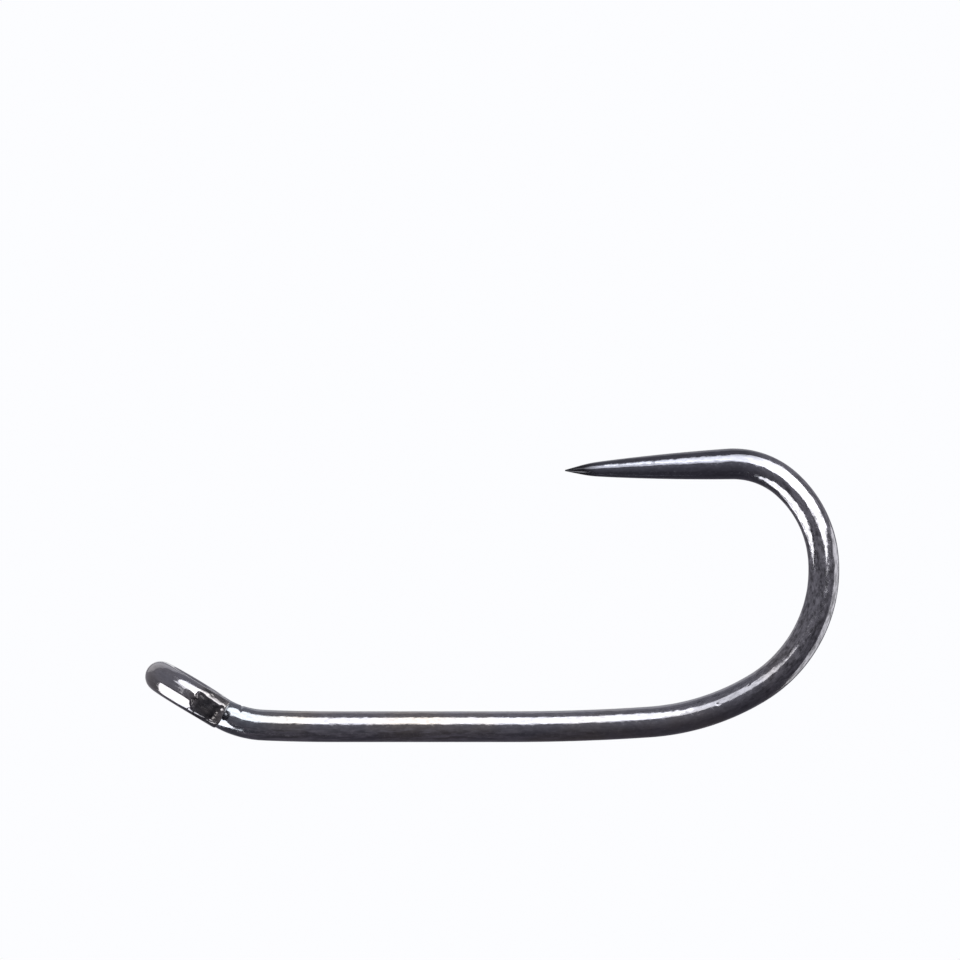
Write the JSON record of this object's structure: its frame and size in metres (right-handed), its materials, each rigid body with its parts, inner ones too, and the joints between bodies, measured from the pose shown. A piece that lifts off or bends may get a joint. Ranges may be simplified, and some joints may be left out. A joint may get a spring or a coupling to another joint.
{
  "type": "fishing hook",
  "caption": "Bare barbless fishing hook of black nickel plated steel wire, with its ring eye tilted toward the point, a straight shank and a wide rounded bend.",
  "frame": {"origin": "centre of the eye's opening", "axes": "+X runs along the straight shank toward the bend, +Z points to the side of the shank that the point is on, and the shank, bend and point lie in the plane Y = 0"},
  "size_m": [0.0137, 0.002, 0.0058],
  "materials": {
    "black_nickel_wire": "polished"
  },
  "bodies": {
    "root": {"eye": "black_nickel_wire", "shank": "black_nickel_wire", "bend": "black_nickel_wire", "point": "black_nickel_wire"}
  },
  "joints": []
}
